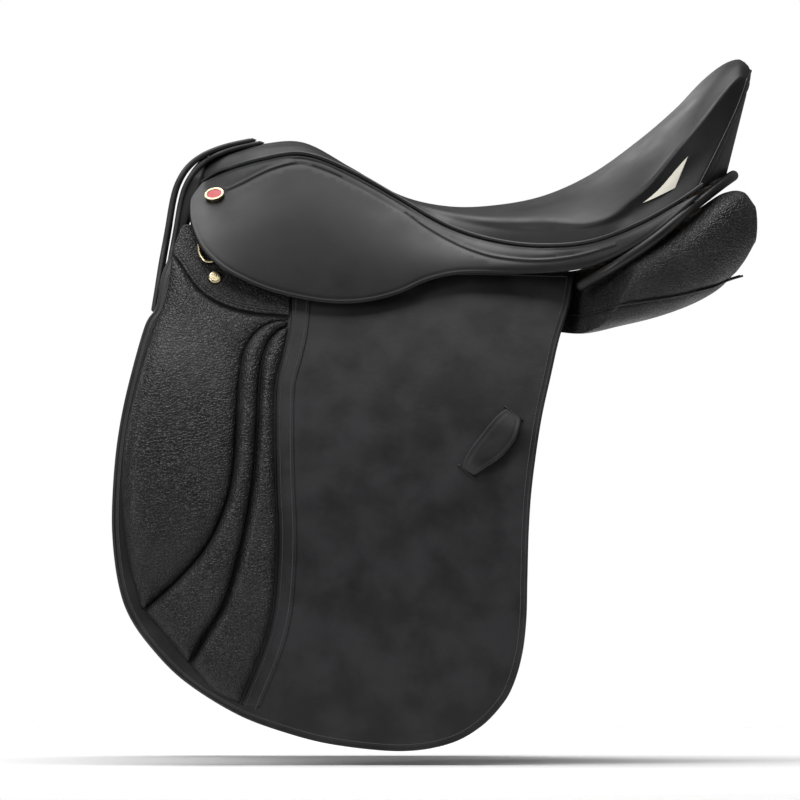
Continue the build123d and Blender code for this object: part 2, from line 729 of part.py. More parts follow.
def badge_parts():
    """Oval nail head: a thin metal rim round a domed enamel centre."""
    face = skirt_plane(*BADGE)
    face = Plane(face.origin + face.z_dir * 0.7, x_dir=face.x_dir, z_dir=face.z_dir)
    outer = Solid.extrude(Face(Wire.make_ellipse(8.2, 6.6, face)), face.z_dir * 2.6)
    hole = Solid.extrude(Face(Wire.make_ellipse(6.6, 5.0, face)), face.z_dir * 9)
    centre = Solid.extrude(Face(Wire.make_ellipse(6.4, 4.8, face)), face.z_dir * 2.2)
    return solid_of(outer - hole), centre


DEE_BAR_HALF, DEE_WIRE, DEE_DROP = 8.0, 1.4, 16.0


def dee_axis(overhang):
    """Plane at the start of the dee's straight side, its normal along the side."""
    centre = on_layer(DEE_X, DEE_R, DEE_Z)
    return Plane(centre - Vector(DEE_BAR_HALF + overhang, 0, 0), z_dir=(1, 0, 0))


def dee_ring():
    """Wire dee on its straight side, leaning out as it lies on the flap."""
    centre = on_layer(DEE_X, DEE_R, DEE_Z)
    fall = Vector(0, -sin(radians(DEE_REST)), -cos(radians(DEE_REST)))
    half = [(DEE_BAR_HALF, 0.0), (DEE_BAR_HALF, 8.0), (3.0, DEE_DROP)]
    route = [centre + Vector(-x, 0, 0) + fall * d for x, d in half]
    route += [centre + Vector(x, 0, 0) + fall * d for x, d in reversed(half)]
    bar = Solid.make_cylinder(DEE_WIRE, 2 * DEE_BAR_HALF + 2 * DEE_WIRE, dee_axis(DEE_WIRE))
    return solid_of(tube(route, DEE_WIRE) + bar)


def dee_tail(width, thickness, inner_radius):
    """Flat strip from the dee's axis straight in to the tree."""
    centre = on_layer(DEE_X, DEE_R, DEE_Z)
    inward = normal_at(DEE_R, DEE_Z) * -1
    across = Vector(0, -inward.Z, inward.Y) * (thickness / 2)
    end = centre + inward * (DEE_R - inner_radius)
    start = centre + inward * 2.0
    corners = [start - across, start + across, end + across, end - across]
    return slab([(p.Y, p.Z) for p in corners], (DEE_X - width / 2, DEE_X + width / 2))


def dee_clip():
    """Metal loop that holds the dee's straight side to the tree."""
    plane = dee_axis(-2.5)
    sleeve = Solid.make_cylinder(3.0, 2 * DEE_BAR_HALF - 5.0, plane)
    bore = Solid.make_cylinder(DEE_WIRE + 0.06, 4 * DEE_BAR_HALF, dee_axis(DEE_BAR_HALF))
    return solid_of(sleeve + dee_tail(11.0, 1.6, 637.4) - bore)


def keeper():
    """Leather loop on the flap, bowed clear of it, that a strap's end goes through."""
    (x0, z0), (x1, z1) = KEEPER_FEET
    along = (Vector(x1, 0, z1) - Vector(x0, 0, z0)).normalized()
    across = Vector(along.Z, 0, -along.X)
    base, crown = FLAP_R[1] + 0.2, FLAP_R[1] + 6.2

    def quad(a, b, wide):
        start, end = Vector(x0, 0, z0) + along * a, Vector(x1, 0, z1) + along * b
        points = [start - across * wide, start + across * wide, end + across * wide, end - across * wide]
        return polygon_prism([(p.X, p.Z) for p in points])

    whole = layer((base, crown + 2.6)) & quad(0, 0, 12.0)
    gap = layer((base - 1, crown)) & quad(6.5, -6.5, 30.0)
    return solid_of(whole - gap)


# ---------------------------------------------------------------- build
def build():
    panel = panel_blank()
    gusset = gusset_zone()
    save_pair("panel", solid_of(panel - gusset))
    save_pair("rear_gusset", solid_of(panel & gusset))
    save_pair("sweat_flap", sweat_flap())
    save_both("point_pockets", point_pocket())
    save_pair("front_girth_strap", girth_strap(-101.0))
    save_pair("rear_girth_strap", girth_strap(23.0))
    save_pair("flap_top", flap_top())
    save_pair("flap", flap())
    save_pair("knee_pad", knee_pad())
    save_pair("knee_pad_top", knee_pad_top())
    save_pair("middle_roll", middle_roll())
    save_pair("rear_roll", rear_roll())
    save_pair("point_cover", point_cover())
    save_pair("flap_keeper", keeper())
    save_pair("skirt_top", skirt_top())
    save_pair("skirt", skirt_lobe())
    save_pair("seat_piping", tube(piping_points(), PIPING_R))
    save("seat_cover", seat_cover())
    save("seat_foam", seat_foam())
    save("cantle_back", cantle_back())
    save("cantle_board", cantle_board())
    save("rear_welt", rear_roll_tube(ROLL_R))
    save("tree_head", tree_head())
    save("head_plate", head_plate())
    save("gullet_plate", gullet_plate())
    save_both("tree_rails", tree_rail())
    save_both("spring_steels", spring_steel())
    save_pair("stirrup_bar", stirrup_bar())
    save_pair("bar_catch", bar_catch())
    save_both("bar_rivets", *bar_rivets())
    save("front_girth_web", front_girth_web())
    save("rear_girth_web", rear_girth_web())
    save("seat_web", seat_web())
    save("panel_facing", panel_facing())
    save("pommel_facing", pommel_facing())
    save_both("brass_studs", stud())
    rim, enamel = badge_parts()
    save_both("badge_rims", rim)
    save_both("badge_enamels", enamel)
    save_pair("dee_ring", dee_ring())
    save_both("dee_clips", dee_clip())


build()
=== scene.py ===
"""Looks of a black dressage saddle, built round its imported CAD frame. Lengths are in millimetres until a mesh is
made. The left side is at negative Y and is modelled; the right side mirrors it."""

import json
from math import cos, pi, radians, sin, sqrt

import bpy
import numpy as np
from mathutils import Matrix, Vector
from mathutils.geometry import delaunay_2d_cdt


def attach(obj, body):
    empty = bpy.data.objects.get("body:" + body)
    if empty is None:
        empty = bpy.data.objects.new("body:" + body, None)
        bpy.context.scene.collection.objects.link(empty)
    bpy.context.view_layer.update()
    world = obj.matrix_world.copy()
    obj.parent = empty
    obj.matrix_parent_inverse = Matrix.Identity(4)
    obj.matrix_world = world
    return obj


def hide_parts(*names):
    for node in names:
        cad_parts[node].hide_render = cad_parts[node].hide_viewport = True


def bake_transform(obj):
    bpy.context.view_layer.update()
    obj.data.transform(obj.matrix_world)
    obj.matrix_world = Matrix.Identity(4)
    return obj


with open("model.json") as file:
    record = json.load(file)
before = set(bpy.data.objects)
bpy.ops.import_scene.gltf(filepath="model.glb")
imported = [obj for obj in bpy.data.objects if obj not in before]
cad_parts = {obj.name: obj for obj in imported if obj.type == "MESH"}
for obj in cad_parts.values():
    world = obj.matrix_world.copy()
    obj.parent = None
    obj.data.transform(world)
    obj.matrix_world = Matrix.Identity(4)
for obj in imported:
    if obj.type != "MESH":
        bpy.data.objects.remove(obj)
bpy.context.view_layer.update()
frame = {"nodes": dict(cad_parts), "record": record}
MM = 0.001
ROOT = "saddle"

# ------------------------------------------------------------------ the object's shape
BARREL_Y, BARREL_Z = 439.0, -300.0
SEAT = (  # X, top on the middle plane, ridge (out, height), seam with the skirt (out, height)
    (-188, 138, 30, 136, 47, 124),
    (-165, 145, 34, 143, 54, 132),
    (-140, 152, 38, 149, 58, 139),
    (-107, 153, 40, 150, 60, 143),
    (-69, 133, 45, 132, 65, 129),
    (-28, 110, 57, 109, 75, 106),
    (11, 101, 70, 97, 88, 84),
    (50, 102, 84, 92, 100, 72),
    (90, 110, 98, 92, 113, 68),
    (129, 128, 112, 92, 124, 72),
    (168, 156, 117, 112, 130, 87),
    (198, 182, 107, 147, 125, 104),
    (218, 203, 92, 171, 115, 118),
    (236, 217, 70, 194, 98, 134),
    (250, 221, 48, 207, 76, 150),
    (264, 214, 30, 205, 56, 165),
)
SKIRT_LOW = (  # X, distance out, height
    (-210, 114, 60),
    (-165, 122, 40),
    (-107, 129, 20),
    (-50, 129, 20),
    (5, 124, 36),
    (60, 121, 38),
    (115, 126, 40),
    (170, 137, 60),
    (228, 130, 100),
)
PANEL = (  # X, centre (out, height), half width, half height, tilt
    (40, 68, 26, 34, 14, -12),
    (80, 80, 25, 46, 20, -11),
    (118, 90, 23, 55, 24, -8),
    (150, 93, 34, 57, 29, -8),
    (185, 92, 47, 57, 34, -6),
    (215, 87, 61, 52, 37, -3),
    (237, 80, 75, 44, 37, 0),
    (252, 75, 84, 33, 28, 0),
    (260, 72, 86, 20, 16, 0),
)
PANEL_MID_R, PANEL_LIMIT_R = 611.5, 626.0  # middle of the front panel, and how far out a panel may reach
BACK_FOOT_X, BACK_FOOT_Z, BACK_LEAN, BACK_PLAN_R = 238.0, 125.0, 0.25, 312.0
ROLL_PATH = ((119, -122, 36), (148, -139, 53), (180, -138, 75), (208, -122, 99), (231, -84, 117), (242.5, -32, 125))
FLAP_EDGE = (
    (114, 46), (109.4, 19), (101, -8), (94.3, -37), (85.8, -76), (78.8, -125), (76, -162), (74.8, -203),
    (74, -233), (71, -260), (64.5, -284), (55, -302), (36, -321.5), (10, -335), (-28, -340.5), (-80, -335.6),
    (-120, -325.9), (-161, -310.4), (-203, -284), (-230, -257), (-248, -231), (-257, -203), (-261.5, -165),
    (-261, -128), (-257.5, -90), (-250, -50), (-236, 1.5), (-227, 17), (-222.5, 42), (-213, 66), (-206, 84),
)  # fmt: skip
FLAP_TOP = ((-206, 84), (-168, 84), (-163, 46), (-50, 46), (-42, 54), (-10, 48), (40, 48), (114, 46))
PANEL_FRONT = (
    (-210, 82), (-212, 74), (-216.5, 54), (-221, 30), (-227, 10), (-230, -20), (-218, -52), (-180, -70),
    (-110, -72), (-40, -58), (20, -34), (60, -8), (72, 20),
)  # fmt: skip
COVER_EDGE = (
    (-214, 62), (-206, 52), (-195, 36), (-181, 24.5), (-163, 17), (-146, 13.5), (-130, 12), (-118, 11),
)  # fmt: skip
SKIRT_EDGE = (
    (215, 112), (208, 104.5), (188, 86), (168, 70.5), (139, 55.5), (110, 48), (70, 45.5), (23, 46), (-5, 40.5),
    (-28, 30.5), (-52, 24), (-76, 22), (-102, 24.5), (-134, 32), (-162, 44), (-179, 55.5), (-191, 69),
    (-198.5, 87), (-200, 102), (-198, 110), (-190, 121),
)  # fmt: skip
SKIRT_CREASE = (
    (-169, 114.6), (-157, 120.3), (-135.7, 130.8), (-116, 136.5), (-102, 136), (-69, 122.7), (-28.4, 99.9),
    (-8, 85.3), (13, 73.1), (33, 64.5), (53.6, 59.3), (84.5, 56.9), (115.8, 60.5), (146, 69.1),
)  # fmt: skip
PAD_FRONT = (
    (-214, 58), (-219, 25), (-230.8, -3.3), (-242.2, -45.5), (-251.1, -84.5), (-254.3, -120.3), (-252.7, -156.8),
    (-247, -192), (-237.5, -226),
)  # fmt: skip
GROOVE_A = (
    (-119.5, 7.6), (-130, 7.0), (-141.5, 1.8), (-151.5, -9.5), (-157, -25), (-160.1, -50.4), (-161.7, -84.5),
    (-164.1, -115.4), (-169.8, -141.4), (-183.6, -172.3), (-204.8, -198.3), (-235.7, -226.5),
)  # fmt: skip
GROOVE_B = (
    (-119.3, 2.6), (-127, -0.6), (-134.5, -9), (-140.3, -25), (-143, -50.4), (-144.6, -84.5), (-147.1, -120.3),
    (-152.8, -156.8), (-160.1, -188.5), (-170.6, -221.8), (-186.1, -247.8), (-199.1, -269.8),
)  # fmt: skip
SEAM_C = (
    (-118.6, 0.5), (-122.4, -17), (-129.2, -45.5), (-130, -84.5), (-129.2, -126), (-127.6, -162.5),
    (-128.4, -193.4), (-131.6, -227.5), (-139.8, -258.4), (-157.6, -302.3),
)  # fmt: skip
FACING_LINE = (
    (-146, 157.5), (-171, 152), (-190, 144.5), (-203, 134.5), (-211.5, 121), (-216, 106), (-220, 82),
    (-225, 54), (-228, 34), (-231, 15),
)  # fmt: skip
GUSSET_LINE = ((119.5, 12.2), (156.8, 21.1), (198.3, 27.6), (229.2, 35.8), (245.4, 43.9))
KEEPER = (
    (57.7, -64.2), (69.9, -71.1), (69, -79.6), (64.2, -92.6), (52.8, -105.6), (41.4, -113), (31.7, -118.6),
    (20.3, -111.3), (28.4, -98.3), (47.1, -74.8),
)  # fmt: skip


# ------------------------------------------------------------------ curves
def course(table, x, column):
    """Cubic reading of one column of a table whose first column is X."""
    x = max(table[0][0], min(table[-1][0], x))
    i = max(1, min(len(table) - 1, sum(row[0] <= x for row in table)))
    a, b = table[i - 1], table[i]
    before, after = table[max(i - 2, 0)], table[min(i + 1, len(table) - 1)]
    span = b[0] - a[0]
    slope_a = (b[column] - before[column]) / (b[0] - before[0]) * span
    slope_b = (after[column] - a[column]) / (after[0] - a[0]) * span
    t = (x - a[0]) / span
    return (
        (2 * t**3 - 3 * t**2 + 1) * a[column]
        + (t**3 - 2 * t**2 + t) * slope_a
        + (3 * t**2 - 2 * t**3) * b[column]
        + (t**3 - t**2) * slope_b
    )


def through(points, per=24):
    """Catmull-Rom curve through the points, with a fixed number of points in each span."""
    p = np.array(points, float)
    ext = np.vstack([2 * p[0] - p[1], p, 2 * p[-1] - p[-2]])
    found = []
    counts = [per] * (len(p) - 1) if isinstance(per, int) else per
    for i, count in enumerate(counts):
        a, b, c, d = ext[i : i + 4]
        square, cube = 2 * a - 5 * b + 4 * c - d, 3 * b - a - 3 * c + d
        for t in np.linspace(0, 1, count, endpoint=False):
            found.append(0.5 * (2 * b + (c - a) * t + square * t**2 + cube * t**3))
    return np.array(found + [p[-1]])


def even(p, step):
    """The same route with its points an even step apart."""
    p = np.array(p, float)
    s = np.r_[0, np.cumsum(np.linalg.norm(np.diff(p, axis=0), axis=1))]
    at = np.linspace(0, s[-1], max(1, round(s[-1] / step)) + 1)
    return np.stack([np.interp(at, s, p[:, k]) for k in range(p.shape[1])], 1)


def smooth(points, step):
    return even(through(points) if len(points) > 2 else points, step)


def outline(stretches, step):
    """Closed anticlockwise loop from stretches that join at corners."""
    loop = np.vstack([smooth(s, step)[:-1] for s in stretches])
    x, z = loop[:, 0], loop[:, 1]
    area = np.sum(x * np.roll(z, -1) - np.roll(x, -1) * z)
    return loop if area > 0 else loop[::-1]


def distance(points, line, closed=True):
    """Distance of each point from a line."""
    a = line if closed else line[:-1]
    d = (np.roll(line, -1, 0) if closed else line[1:]) - a
    out = np.full(len(points), 1e9)
    for i in range(0, len(points), 4000):
        p = points[i : i + 4000, None, :]
        t = np.clip(((p - a) * d).sum(2) / np.maximum((d * d).sum(1), 1e-12), 0, 1)
        out[i : i + 4000] = np.sqrt((((a + d * t[..., None]) - p) ** 2).sum(2)).min(1)
    return out


def inside(points, loop):
    a, b = loop, np.roll(loop, -1, 0)
    x, z = points[:, 0][:, None], points[:, 1][:, None]
    cross = (a[:, 1] > z) != (b[:, 1] > z)
    at = a[:, 0] + (z - a[:, 1]) / np.where(cross, b[:, 1] - a[:, 1], 1) * (b[:, 0] - a[:, 0])
    return ((cross & (x < at)).sum(1) % 2) == 1


def inset(loop, d):
    """The loop moved inwards by d, with the points left out that fall too near an edge."""
    along = np.roll(loop, -1, 0) - np.roll(loop, 1, 0)
    along /= np.maximum(np.linalg.norm(along, axis=1), 1e-9)[:, None]
    moved = loop + np.stack([-along[:, 1], along[:, 0]], 1) * d
    return moved[(distance(moved, loop) > 0.95 * d) & inside(moved, loop)]


def shifted(line, d):
    """An open line moved sideways, to its right, by d."""
    along = np.gradient(line, axis=0)
    along /= np.linalg.norm(along, axis=1)[:, None]
    return line + np.stack([along[:, 1], -along[:, 0]], 1) * d


def rounding(d, r):
    """0 on an edge, rising on a quarter circle to 1 at distance r."""
    return np.sqrt(1 - (1 - np.clip(d / r, 0, 1)) ** 2)


# ------------------------------------------------------------------ surfaces that pieces lie on
def out_at(radius, z):
    return sqrt(radius**2 - (z - BARREL_Z) ** 2) - BARREL_Y


def on_side(radius):
    """Places (x, z, height) on the left side's layer of that radius."""

    def place(x, z, h):
        y = out_at(radius, z)
        return (x, -y - (y + BARREL_Y) / radius * h, z + (z - BARREL_Z) / radius * h)

    return place


def skirt_out(x, z):
    top_y, top_z = course(SEAT, x, 4), course(SEAT, x, 5)
    low_y, low_z = course(SKIRT_LOW, x, 1), course(SKIRT_LOW, x, 2)
    t = (top_z - z) / (top_z - low_z)
    return top_y + (low_y - top_y) * t + 5.0 * sin(pi * max(0, min(1, t)))


def on_skirt(x, z, h):
    slope_z = (skirt_out(x, z + 2) - skirt_out(x, z - 2)) / 4
    slope_x = (skirt_out(x + 2, z) - skirt_out(x - 2, z)) / 4
    n = Vector((-slope_x, -1, -slope_z)).normalized()
    n = Vector((n.x, n.y, abs(n.z) if slope_z < 0 else -abs(n.z)))
    return (x + n.x * h, -skirt_out(x, z) + n.y * h, z + n.z * h)


def back_x(y, z):
    """X of the cantle's back face."""
    return BACK_FOOT_X + BACK_LEAN * (z - BACK_FOOT_Z) - BACK_PLAN_R + sqrt(BACK_PLAN_R**2 - y * y)


# ------------------------------------------------------------------ materials
class Looks:
    """A material that is put together node by node."""

    def __init__(self, name, colour, rough, metal=0.0, coat=0.0, specular=0.5):
        self.mat = bpy.data.materials.new(name)
        self.mat.use_nodes = True
        self.nodes, self.links = self.mat.node_tree.nodes, self.mat.node_tree.links
        self.shader = self.nodes["Principled BSDF"]
        for key, value in (
            ("Base Color", (*colour, 1)), ("Roughness", rough), ("Metallic", metal),
            ("Coat Weight", coat), ("Coat Roughness", 0.12), ("Specular IOR Level", specular),
        ):  # fmt: skip
            self.shader.inputs[key].default_value = value
        self.place = self.nodes.new("ShaderNodeTexCoord").outputs["Object"]
        self.normal = None

    def node(self, kind, values=(), links=(), **settings):
        made = self.nodes.new("ShaderNode" + kind)
        for key, value in settings.items():
            setattr(made, key, value)
        for key, value in dict(values).items():
            made.inputs[key].default_value = value
        for key, source in dict(links).items():
            self.links.new(source, made.inputs[key])
        return made

    def noise(self, scale, detail=4, place=None):
        return self.node("TexNoise", {"Scale": scale, "Detail": detail}, {"Vector": place or self.place}).outputs[0]

    def spread(self, source, low, high, start=0.0, end=1.0):
        values = {"From Min": low, "From Max": high, "To Min": start, "To Max": end}
        made = self.node("MapRange", values, {"Value": source}, interpolation_type="SMOOTHSTEP")
        return made.outputs["Result"]

    def times(self, a, b):
        return self.node("Math", {}, {0: a, 1: b}, operation="MULTIPLY").outputs[0]

    def bump(self, height, depth, strength=1.0):
        links = {"Height": height}
        if self.normal:
            links["Normal"] = self.normal
        self.normal = self.node("Bump", {"Distance": depth * MM, "Strength": strength}, links).outputs["Normal"]
        self.links.new(self.normal, self.shader.inputs["Normal"])

    def pebbles(self, scale, depth):
        """Rounded grains with narrow valleys between them, unevenly sized."""
        warp = self.node("TexNoise", {"Scale": scale * 0.4, "Detail": 2}, {"Vector": self.place}).outputs["Color"]
        bent = self.node(
            "Mix", {"Factor": 0.9 / scale}, {"A": self.place, "B": warp}, data_type="RGBA", blend_type="LINEAR_LIGHT"
        ).outputs["Result"]
        cells = self.node("TexVoronoi", {"Scale": scale}, {"Vector": bent}, feature="DISTANCE_TO_EDGE")
        self.bump(self.spread(cells.outputs["Distance"], 0.0, 0.26), depth)

    def creases(self, centre, radius, turn, depth, across=330.0, along=45.0):
        """Fine wrinkles within radius of a place on the sides (x, z), running at turn degrees to the level."""
        shift = self.node("VectorMath", {1: (-centre[0] * MM, 0, -centre[1] * MM)}, {0: self.place}, operation="ADD")
        flat = self.node("VectorMath", {1: (1, 0, 1)}, {0: shift.outputs[0]}, operation="MULTIPLY").outputs[0]
        far = self.node("VectorMath", {}, {0: flat}, operation="LENGTH").outputs["Value"]
        turned = self.node("Mapping", {"Rotation": (0, radians(turn), 0)}, {"Vector": self.place}).outputs[0]
        stretched = self.node("Mapping", {"Scale": (along, 60, across)}, {"Vector": turned}).outputs[0]
        waves = self.node("TexNoise", {"Scale": 1.0, "Detail": 3, "Distortion": 0.6}, {"Vector": stretched}).outputs[0]
        lines = self.spread(waves, 0.42, 0.62)
        self.bump(self.times(lines, self.spread(far, radius * MM, 0.0)), depth)

    def mottle(self, dark, light, scale=28.0):
        """Uneven dye: colour that wanders between two shades."""
        patches = self.spread(self.noise(scale, 6), 0.34, 0.68)
        mix = self.node("Mix", {"A": (*dark, 1), "B": (*light, 1)}, {"Factor": patches}, data_type="RGBA")
        self.links.new(mix.outputs["Result"], self.shader.inputs["Base Color"])

    def polish(self, low, high, scale=40.0):
        """Uneven polish: roughness that wanders between two values."""
        self.links.new(self.spread(self.noise(scale, 5), 0.3, 0.7, low, high), self.shader.inputs["Roughness"])


def leather(name, dark, light, rough, fine, specular=0.36):
    looks = Looks(name, dark, rough[0], specular=specular)
    looks.mottle(dark, light)
    looks.polish(*rough)
    looks.bump(looks.noise(220, 3), fine * 2)
    looks.bump(looks.noise(1100, 2), fine)
    return looks


def woven(name, colour, scale):
    looks = Looks(name, colour, 0.85)
    weft = looks.node("TexWave", {"Scale": scale}, {"Vector": looks.place}, bands_direction="X").outputs["Fac"]
    warp = looks.node("TexWave", {"Scale": scale * 0.8}, {"Vector": looks.place}, bands_direction="Y").outputs["Fac"]
    looks.bump(weft, 0.25)
    looks.bump(warp, 0.25)
    looks.mottle([c * 0.75 for c in colour], colour, 300)
    return looks


LOOKS = {
    "smooth_leather": leather("smooth_leather", (0.008, 0.008, 0.009), (0.021, 0.021, 0.023), (0.46, 0.62), 0.05),
    "skirt_leather": leather("skirt_leather", (0.005, 0.005, 0.0055), (0.009, 0.009, 0.010), (0.40, 0.50), 0.02),
    "grained_leather": leather("grained_leather", (0.007, 0.007, 0.008), (0.014, 0.014, 0.015), (0.36, 0.46), 0.10),
    "seat_leather": leather("seat_leather", (0.006, 0.006, 0.0065), (0.011, 0.011, 0.012), (0.42, 0.52), 0.03),
    "welt_leather": leather("welt_leather", (0.006, 0.006, 0.0065), (0.012, 0.012, 0.013), (0.34, 0.44), 0.03),
    "strap_leather": leather("strap_leather", (0.010, 0.010, 0.011), (0.022, 0.022, 0.024), (0.48, 0.62), 0.06),
    "panel_leather": leather("panel_leather", (0.007, 0.007, 0.008), (0.014, 0.014, 0.015), (0.38, 0.48), 0.10),
    "thread": Looks("thread", (0.045, 0.045, 0.048), 0.5),
    "brass": Looks("brass", (0.70, 0.60, 0.38), 0.25, metal=1.0),
    "red_enamel": Looks("red_enamel", (0.50, 0.008, 0.014), 0.15, coat=0.8),
    "steel": Looks("steel", (0.45, 0.45, 0.46), 0.33, metal=1.0),
    "beech": Looks("beech", (0.40, 0.26, 0.15), 0.5),
    "webbing": woven("webbing", (0.42, 0.37, 0.29), 700.0),
    "foam": Looks("foam", (0.75, 0.72, 0.62), 0.9),
    "paper": Looks("paper", (0.86, 0.86, 0.86), 0.9),
}
for key in ("grained_leather", "panel_leather"):
    LOOKS[key].pebbles(395.0, 0.42)
LOOKS["grained_leather"].creases((-168, -8), 34, -62, 0.5)
LOOKS["grained_leather"].creases((-205, 30), 30, -60, 0.35)
LOOKS["grained_leather"].creases((-150, -215), 45, 30, 0.4)
LOOKS["panel_leather"].creases((196, 82), 38, 55, 0.7)
LOOKS["panel_leather"].creases((150, 45), 30, 40, 0.35)
LOOKS["brass"].polish(0.18, 0.34, 260.0)
LOOKS["brass"].bump(LOOKS["brass"].noise(900, 2), 0.03)
LOOKS["steel"].polish(0.25, 0.45, 300.0)
LOOKS["steel"].bump(LOOKS["steel"].noise(700, 3), 0.05)
LOOKS["thread"].bump(LOOKS["thread"].noise(2500, 2), 0.08)
LOOKS["red_enamel"].polish(0.10, 0.2, 300.0)
LOOKS["foam"].bump(LOOKS["foam"].noise(900, 4), 0.3)
beech = LOOKS["beech"]
rings = beech.node("Mapping", {"Scale": (18, 240, 240)}, {"Vector": beech.place}).outputs[0]
shades = {"A": (0.30, 0.18, 0.10, 1), "B": (0.46, 0.31, 0.18, 1)}
grain = beech.node("Mix", shades, {"Factor": beech.noise(1.0, 3, rings)}, data_type="RGBA")
beech.links.new(grain.outputs["Result"], beech.shader.inputs["Base Color"])
# The floor is clear from below, so that the saddle's underside can be seen through it.
paper = LOOKS["paper"]
under = paper.node("NewGeometry").outputs["Backfacing"]
clear = paper.node("BsdfTransparent").outputs[0]
either = paper.node("MixShader", {}, {0: under, 1: paper.shader.outputs[0], 2: clear}).outputs[0]
paper.links.new(either, paper.nodes["Material Output"].inputs["Surface"])
MATS = {name: looks.mat for name, looks in LOOKS.items()}
for part in frame["record"]["subparts"]:
    data = frame["nodes"][part["node"]].data
    data.materials.clear()
    data.materials.append(MATS[part["material_slot"]])


# ------------------------------------------------------------------ pieces
SLOT_OF = {"skirt_leather": "smooth_leather", "thread": "smooth_leather", "panel_leather": "grained_leather"}


def make(name, verts, faces, mat, slot=None):
    mesh = bpy.data.meshes.new(name)
    mesh.from_pydata([tuple(c * MM for c in v) for v in verts], [], [list(map(int, f)) for f in faces])
    mesh.polygons.foreach_set("use_smooth", [True] * len(mesh.polygons))
    mesh.materials.append(MATS[mat])
    mesh.update()
    piece = bpy.data.objects.new(name, mesh)
    bpy.context.scene.collection.objects.link(piece)
    if slot != "stage":
        slot or SLOT_OF.get(mat, mat)
    return piece


def both(name, verts, faces, mat, settle, slot=None):
    """Left piece and its mirror image; settle(piece, side) ties each to the frame or bakes it in place."""
    for side, turn in (("left", 1), ("right", -1)):
        v = [(x, y * turn, z) for x, y, z in verts]
        f = faces if turn > 0 else [tuple(reversed(face)) for face in faces]
        settle(make(f"{side}_{name}", v, f, mat, slot), side)


def on_root(*nodes, fill=None):
    def settle(piece, side):
        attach(piece, ROOT)
        if nodes:
            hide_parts(*[f"{side}_{n}" for n in nodes])

    return settle


def on_flap(*nodes, fill=None):
    """Bakes a piece that crosses the flap's fold in place and hides the frame's parts it stands for."""

    def settle(piece, side):
        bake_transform(piece)
        if nodes:
            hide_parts(*[f"{side}_{n}" for n in nodes])

    return settle


def on_body(body, *nodes):
    def settle(piece, side):
        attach(piece, f"{side}_{body}")
        if nodes:
            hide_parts(*[f"{side}_{n}" for n in nodes])

    return settle


def patch(stretches, place, top, bottom, step=3.0, rings=(0.4, 1.0, 1.8, 2.8, 4.2, 6.2), grid=4.0, lines=()):
    """Closed piece over an outline: top and bottom give heights from (x, z, distance from the edge)."""
    edge = outline(stretches, step)
    points = [edge] + [inset(edge, d) for d in rings]
    lo, hi = edge.min(0), edge.max(0)
    gx, gz = np.meshgrid(np.arange(lo[0], hi[0], grid), np.arange(lo[1], hi[1], grid * 0.87))
    gx = gx + (np.arange(len(gx)) % 2)[:, None] * grid / 2
    field = np.stack([gx.ravel(), gz.ravel()], 1)
    field = field[inside(field, edge)]
    field = field[distance(field, edge) > (rings[-1] if rings else 0) + grid * 0.5]
    for line, offsets in lines:
        field = field[distance(field, line, closed=False) > max(offsets) + grid * 0.4]
        for d in offsets:
            for sign in (1, -1) if d else (1,):
                moved = shifted(line, d * sign)
                moved = moved[inside(moved, edge)]
                points.append(moved[distance(moved, edge) > rings[-1] + 1.0])
    points.append(field)
    every = np.vstack(points)
    flat, _, faces, _, _, _ = delaunay_2d_cdt([Vector(p) for p in every], [], [list(range(len(edge)))], 1, 1e-3)
    xz = np.array([tuple(p) for p in flat])
    d = distance(xz, edge)
    rim = d < 1e-3
    d = np.where(rim, 0, d)
    up, down = top(xz[:, 0], xz[:, 1], d), bottom(xz[:, 0], xz[:, 1], d)
    verts = [place(x, z, h) for (x, z), h in zip(xz, up)]
    under = {}
    for i, ((x, z), h) in enumerate(zip(xz, down)):
        if not rim[i]:
            under[i] = len(verts)
            verts.append(place(x, z, h))
    tris = []
    for f in faces:
        a, b, c = (xz[i] for i in f)
        turn = (b[0] - a[0]) * (c[1] - a[1]) - (b[1] - a[1]) * (c[0] - a[0])
        tris.append(tuple(f) if turn > 0 else tuple(reversed(f)))
    lower = [tuple(under.get(i, i) for i in reversed(f)) for f in tris]
    return verts, tris + lower


def sheet_heights(thick, groove=0.0, groove_at=2.6, low=0.0):
    """Faces of a sheet with rounded edges and, if wanted, a line pressed in beside its edge."""
    half = thick / 2

    def top(x, z, d):
        return low + half + half * rounding(d, half) - groove * np.exp(-(((d - groove_at) / 0.7) ** 2))

    def bottom(x, z, d):
        return low + half - half * rounding(d, half)

    return top, bottom


